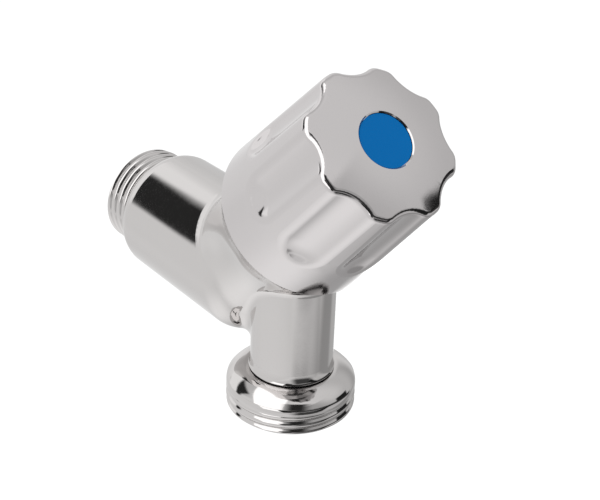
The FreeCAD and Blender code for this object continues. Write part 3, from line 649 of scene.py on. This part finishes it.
def rounded(start: Point, corner: Point, end: Point, steps: int) -> tuple[Point, ...]:
    """Round a corner into a curve of short straight pieces.

    Args:
        start: Where the curve begins.
        corner: The point that it bends towards.
        end: Where it ends.
        steps: The number of straight pieces.

    Returns:
        The points along the curve, both ends included.
    """
    def blend(n: int, axis: int) -> float:
        """Work out one coordinate of one point of the curve."""
        t = n / steps
        return (1 - t) ** 2 * start[axis] + 2 * t * (1 - t) * corner[axis] + t * t * end[axis]

    return tuple((blend(n, 0), blend(n, 1)) for n in range(steps + 1))


def assemble(
        pieces: list[bpy.types.Object], name: str, node: str, paints: Paints) -> bpy.types.Object:
    """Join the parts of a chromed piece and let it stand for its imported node.

    Args:
        pieces: The parts, the first of which carries the piece's name.
        name: The finished piece's name.
        node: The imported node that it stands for.
        paints: The finished materials.

    Returns:
        The finished piece.
    """
    slot = "chromed_brass"
    pick(pieces[0])
    for piece in pieces[1:]:
        piece.select_set(True)
    bpy.ops.object.join()
    whole = bpy.context.active_object
    whole.name = name
    dress(whole, paints.of_slot(slot))
    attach(whole, "tap_body")
    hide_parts(node)
    LOG.info("%s: %d faces", name, len(whole.data.polygons))
    return whole


@dataclass
class Casting:
    """The chromed casting with its inlet thread and the rim of its pipe."""

    node: str = "valve_body"
    cuts: tuple[tuple[Vector, Vector], ...] = field(default_factory=lambda: (
        (Vector((0, 0.01 * MILLIMETRE, 0)), Vector((0, 1, 0))),
        (Vector((0, 0, -14.8 * MILLIMETRE)), Vector((0, 0, -1))),
    ))
    thread: PipeThread = field(default_factory=lambda: PipeThread(
        name="inlet_thread", axis=Axis.WALL, foot=Vector((0, 0, 0)),
        major_radius=10.4775 * MILLIMETRE, bore_radius=7.0 * MILLIMETRE, length=7.8 * MILLIMETRE,
        crest_radius=0.72 * MILLIMETRE, root_radius=0.12 * MILLIMETRE, flank_angle=56))
    rim: TurnedEnd = field(default_factory=lambda: TurnedEnd(
        name="pipe_rim",
        outside=((7.0, -14.8), *rounded((8.45, -14.8), (8.46, -16.35), (8.72, -16.75), 8),
                 *rounded((8.76, -16.82), (8.76, -17.0), (8.6, -17.0), 4)),
        inside=((7.0, -17.0),)))

    def shell(self) -> bpy.types.Object:
        """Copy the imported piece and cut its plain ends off.

        Returns:
            The closed copy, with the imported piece's own surface directions.
        """
        shell = copy_node(self.node)
        open_mesh(shell)
        bpy.ops.mesh.remove_doubles(threshold=WELD)
        for point, normal in self.cuts:
            bpy.ops.mesh.select_all(action="SELECT")
            bpy.ops.mesh.bisect(plane_co=point, plane_no=normal, use_fill=True, clear_outer=True)
        close_mesh()
        carry_directions(frame["nodes"][self.node], shell)
        return shell

    def build(self, paints: Paints) -> bpy.types.Object:
        """Join the casting, its thread and its rim."""
        pieces = [self.shell(), self.thread.build(), self.rim.build()]
        return assemble(pieces, "chromed_casting", self.node, paints)


@dataclass
class HoseAdapter:
    """The chromed collar with its nipple and its hose thread."""

    node: str = "outlet_adapter"
    thread: PipeThread = field(default_factory=lambda: PipeThread(
        name="hose_thread", axis=Axis.DOWN, foot=Vector((0, SPOUT_AXIS_Y, -21.3 * MILLIMETRE)),
        major_radius=13.2205 * MILLIMETRE, bore_radius=9.0 * MILLIMETRE, length=4.6 * MILLIMETRE,
        crest_radius=0.75 * MILLIMETRE, root_radius=0.25 * MILLIMETRE, flank_angle=40,
        phase=0.6 * MILLIMETRE, neck_width=0.0))
    collar: TurnedEnd = field(default_factory=lambda: TurnedEnd(
        name="collar",
        outside=((5.0, -12.8), (6.9, -12.8), (6.9, -18.4), (8.46, -18.4), (8.46, -17.3),
                 *rounded((9.3, -17.3), (11.9, -18.15), (13.02, -19.75), 10), (12.96, -19.84),
                 *rounded((13.08, -20.02), (13.2205, -20.4), (13.2205, -20.9), 4),
                 (13.2205, -21.3)),
        inside=((9.0, -21.3), (9.0, -20.0), (5.0, -20.0))))

    def build(self, paints: Paints) -> bpy.types.Object:
        """Join the collar and its thread."""
        pieces = [self.collar.build(), self.thread.build()]
        return assemble(pieces, "hose_adapter", self.node, paints)


@dataclass
class PackedPieces:
    """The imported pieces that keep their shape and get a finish."""

    replaced: tuple[str, ...] = ("valve_body", "outlet_adapter", "check_spring")
    slots: dict[str, str] = field(default_factory=dict)

    def read_slots(self) -> None:
        """Read each node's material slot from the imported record."""
        for part in frame["record"]["subparts"]:
            self.slots[part["node"]] = part["material_slot"]

    def build(self, paints: Paints) -> None:
        """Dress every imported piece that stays.

        Args:
            paints: The finished materials.
        """
        self.read_slots()
        for name, node in frame["nodes"].items():
            if name in self.replaced:
                continue
            slot = self.slots.get(name)
            if slot is None:
                LOG.info("%s: no slot in the record", name)
                continue
            dress(node, paints.of_slot(slot))
            LOG.info("%s: %s", name, slot)


@dataclass
class ReturnSpring:
    """The spring of the backflow cartridge, which shortens as the poppet opens."""

    node: str = "check_spring"
    slot: str = "spring_steel"
    joint: str = "poppet_lift"
    travel: float = 2.0 * MILLIMETRE

    def build(self, paints: Paints) -> None:
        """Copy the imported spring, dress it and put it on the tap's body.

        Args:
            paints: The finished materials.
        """
        spring = copy_node(self.node)
        spring.name = "return_spring"
        spring.data.name = "return_spring"
        dress(spring, paints.of_slot(self.slot))
        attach(spring, "tap_body")
        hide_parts(self.node)
        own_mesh(spring)


@dataclass(frozen=True)
class Panel:
    """A lit or dark panel of the studio, as metal sees it.

    Angles are in degrees, and azimuth is 0 in front of the tap and 90 to its right.
    """

    azimuth: float
    elevation: float
    half_width: float
    half_height: float
    level: float
    soft: float
    soft_height: float
    tilt: float = 0.0

    def rotation(self) -> tuple[float, float, float]:
        """Work out the turn that points the y axis at the panel's middle."""
        turn = Matrix.Rotation(math.pi + math.radians(self.azimuth), 3, "Z")
        rise = Matrix.Rotation(math.radians(self.elevation), 3, "X")
        roll = Matrix.Rotation(math.radians(self.tilt), 3, "Y")
        return tuple((turn @ rise @ roll).to_euler("XYZ"))


PANELS = (
    Panel(80, -60, 95, 36, 0.49, soft=13.8, soft_height=23.1, tilt=-4),
    Panel(-95, -66, 110, 23, 1.20, soft=23.4, soft_height=20.4, tilt=8),
    Panel(170, -24, 18, 26, 0.95, soft=9.0, soft_height=12.0, tilt=-29),
    Panel(31, 18, 80, 33, 0.54, soft=7.7, soft_height=1.5, tilt=1),
    Panel(67, 45, 27, 23, 0.91, soft=15.3, soft_height=23.5, tilt=-7),
    Panel(103, 41, 96, 13, 0.73, soft=2.9, soft_height=12.7, tilt=43),
    Panel(-26, -15, 49, 36, 0.86, soft=27.2, soft_height=24.5, tilt=-32),
    Panel(-86, 46, 22, 46, 1.90, soft=1.5, soft_height=1.5, tilt=23),
    Panel(-30, 32, 16, 30, 0.03, soft=10.4, soft_height=1.5, tilt=-9),
    Panel(-154, 26, 18, 17, 0.03, soft=2.6, soft_height=3.4),
    Panel(177, -38, 34, 15, 0.87, soft=30.0, soft_height=14.7, tilt=-15),
    Panel(-172, 25, 12, 30, 1.21, soft=2.2, soft_height=5.6, tilt=51),
    Panel(33, -43, 50, 9, 0.40, soft=8.4, soft_height=3.9, tilt=10),
    Panel(-36, -30, 50, 3, 1.00, soft=22.9, soft_height=2.4, tilt=-9),
    Panel(27, 8, 50, 11, 0.05, soft=1.5, soft_height=3.2, tilt=-13),
    Panel(-9, -17, 24, 14, 0.07, soft=10.8, soft_height=3.6),
    Panel(131, -37, 3, 18, 1.60, soft=1.5, soft_height=3.8, tilt=-13),
    Panel(57, 15, 12, 9, 0.02, soft=1.5, soft_height=1.5, tilt=-21),
    Panel(-6, 6, 46, 5, 0.09, soft=1.5, soft_height=1.5, tilt=-4),
    Panel(-48, 13, 8, 20, 0.02, soft=1.5, soft_height=6.0, tilt=14),
    Panel(20, -4, 8, 20, 0.02, soft=1.5, soft_height=1.5, tilt=-34),
    Panel(-95, 13, 5, 12, 0.97, soft=1.5, soft_height=1.5, tilt=33),
)


@dataclass
class Studio:
    """White studio with panels for the metal, a pale floor and soft light."""

    panels: tuple[Panel, ...] = PANELS
    base_level: float = 0.97
    ambient: float = 0.62
    floor_height: float = -0.25
    floor_size: float = 8.0
    floor_grey: float = 0.4
    floor_glow: float = 0.75
    lamp_power: float = 9.0
    lamp_size: float = 0.9
    lamp_place: Colour = (-0.75, -0.35, 1.0)
    lamp_aim: Colour = (0, -0.035, 0)

    def mask_group(self) -> bpy.types.NodeTree:
        """Build the node group that says how far a direction lies in a panel.

        Returns:
            The node group.
        """
        tree = bpy.data.node_groups.new("panel_mask", "ShaderNodeTree")
        sheet = Sheet(tree)
        for name, kind in (("Direction", "NodeSocketVector"), ("Rotation", "NodeSocketVector"),
                           ("Half Width", "NodeSocketFloat"), ("Half Height", "NodeSocketFloat"),
                           ("Soft Width", "NodeSocketFloat"), ("Soft Height", "NodeSocketFloat")):
            tree.interface.new_socket(name=name, in_out="INPUT", socket_type=kind)
        tree.interface.new_socket(name="Mask", in_out="OUTPUT", socket_type="NodeSocketFloat")
        given = sheet.add("NodeGroupInput")
        turned = sheet.add("ShaderNodeVectorRotate", rotation_type="EULER_XYZ", invert=True)
        sheet.feed(turned, Vector=given.outputs["Direction"], Rotation=given.outputs["Rotation"])
        parts = sheet.add("ShaderNodeSeparateXYZ")
        sheet.join(turned.outputs[0], parts.inputs[0])
        across = sheet.sum("ABSOLUTE", sheet.sum("ARCTAN2", parts.outputs["X"], parts.outputs["Y"]))
        up = sheet.sum("ABSOLUTE", sheet.sum("ARCSINE", parts.outputs["Z"]))
        masks = []
        sides = ((across, "Half Width", "Soft Width"), (up, "Half Height", "Soft Height"))
        for angle, half, soft in sides:
            near = sheet.sum("SUBTRACT", given.outputs[half], given.outputs[soft])
            far = sheet.sum("ADD", given.outputs[half], given.outputs[soft])
            masks.append(sheet.ramp(angle, near, far, 1.0, 0.0, smooth=True))
        result = sheet.add("NodeGroupOutput")
        sheet.join(sheet.sum("MULTIPLY", *masks), result.inputs["Mask"])
        return tree

    def world(self) -> None:
        """Build the world: white to the camera, panels to metal, plain light to the rest."""
        world = bpy.data.worlds.new("studio_world")
        bpy.context.scene.world = world
        world.use_nodes = True
        sheet = Sheet(world.node_tree)
        direction = sheet.add("ShaderNodeTexCoord").outputs["Generated"]
        group = self.mask_group()
        level: object = self.base_level
        for panel in self.panels:
            node = sheet.add("ShaderNodeGroup", node_tree=group)
            sheet.feed(
                node, Direction=direction, Rotation=panel.rotation(),
                Half_Width=math.radians(panel.half_width),
                Half_Height=math.radians(panel.half_height),
                Soft_Width=math.radians(panel.soft),
                Soft_Height=math.radians(panel.soft_height))
            mix = sheet.add("ShaderNodeMix", data_type="FLOAT")
            sheet.feed(mix, i0=node.outputs["Mask"], i2=level, i3=panel.level)
            level = mix.outputs[0]
        path = sheet.add("ShaderNodeLightPath")
        seen = sheet.add("ShaderNodeMix", data_type="FLOAT")
        sheet.feed(seen, i0=path.outputs["Is Glossy Ray"], i2=self.ambient, i3=level)
        shown = sheet.add("ShaderNodeMix", data_type="FLOAT")
        sheet.feed(shown, i0=path.outputs["Is Camera Ray"], i2=seen.outputs[0], i3=1.0)
        background = sheet.add("ShaderNodeBackground")
        background.inputs["Color"].default_value = (1.0, 1.0, 1.0, 1.0)
        sheet.join(shown.outputs[0], background.inputs["Strength"])
        output = sheet.add("ShaderNodeOutputWorld")
        sheet.join(background.outputs[0], output.inputs["Surface"])

    def floor(self) -> None:
        """Lay the pale floor, well below the tap."""
        deselect()
        middle = (0, 0, self.floor_height)
        bpy.ops.mesh.primitive_plane_add(size=self.floor_size, location=middle)
        floor = bpy.context.active_object
        floor.name = "studio_floor"
        floor.visible_glossy = False
        material = bpy.data.materials.new("studio_floor")
        material.use_nodes = True
        sheet = Sheet(material.node_tree)
        diffuse = sheet.add("ShaderNodeBsdfDiffuse")
        diffuse.inputs["Color"].default_value = (*[self.floor_grey] * 3, 1.0)
        glow = sheet.add("ShaderNodeEmission")
        path = sheet.add("ShaderNodeLightPath")
        strength = sheet.sum("MULTIPLY", path.outputs["Is Camera Ray"], self.floor_glow)
        sheet.join(strength, glow.inputs["Strength"])
        both = sheet.add("ShaderNodeAddShader")
        sheet.join(diffuse.outputs[0], both.inputs[0])
        sheet.join(glow.outputs[0], both.inputs[1])
        output = sheet.add("ShaderNodeOutputMaterial")
        sheet.join(both.outputs[0], output.inputs["Surface"])
        dress(floor, material)

    def lamp(self) -> None:
        """Hang one large soft lamp on the tap's left."""
        data = bpy.data.lights.new("soft_key", "AREA")
        data.shape = "SQUARE"
        data.size = self.lamp_size
        data.energy = self.lamp_power
        lamp = bpy.data.objects.new("soft_key", data)
        bpy.context.scene.collection.objects.link(lamp)
        lamp.location = self.lamp_place
        beam = Vector(self.lamp_aim) - Vector(self.lamp_place)
        lamp.rotation_euler = beam.to_track_quat("-Z", "Y").to_euler()
        lamp.visible_glossy = False

    def build(self) -> None:
        """Build the world, the floor and the lamp."""
        self.world()
        self.floor()
        self.lamp()
        LOG.info("studio: %d panels", len(self.panels))


@dataclass
class Viewpoint:
    """The photograph's camera, fitted to it together with the tap's sizes."""

    position: Vector = field(default_factory=lambda: Vector((-0.18802, -0.26280, 0.17827)))
    right: Vector = field(default_factory=lambda: Vector((0.77013518, -0.6369818, 0.03385236)))
    up: Vector = field(default_factory=lambda: Vector((0.29886943, 0.40721125, 0.86305044)))
    back: Vector = field(default_factory=lambda: Vector((-0.56353249, -0.65454807, 0.5039821)))
    lens: float = 102.58
    sensor_width: float = 36.0
    clip: Point = (0.01, 50.0)

    def build(self) -> None:
        """Create the camera and make it the scene's own."""
        data = bpy.data.cameras.new("viewpoint")
        data.lens = self.lens
        data.sensor_width = self.sensor_width
        data.clip_start, data.clip_end = self.clip
        camera = bpy.data.objects.new("viewpoint", data)
        bpy.context.scene.collection.objects.link(camera)
        turn = Matrix((self.right, self.up, self.back)).transposed()
        camera.matrix_world = Matrix.Translation(self.position) @ turn.to_4x4()
        bpy.context.scene.camera = camera
        LOG.info("camera: lens %.1f mm", self.lens)


def main() -> None:
    """Build the finished tap and its studio."""
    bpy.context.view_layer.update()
    bpy.context.scene.view_settings.view_transform = "Standard"
    Viewpoint().build()
    paints = Paints()
    Casting().build(paints)
    HoseAdapter().build(paints)
    PackedPieces().build(paints)
    ReturnSpring().build(paints)
    Studio().build()
    deselect()


if __name__ == "__main__":
    main()
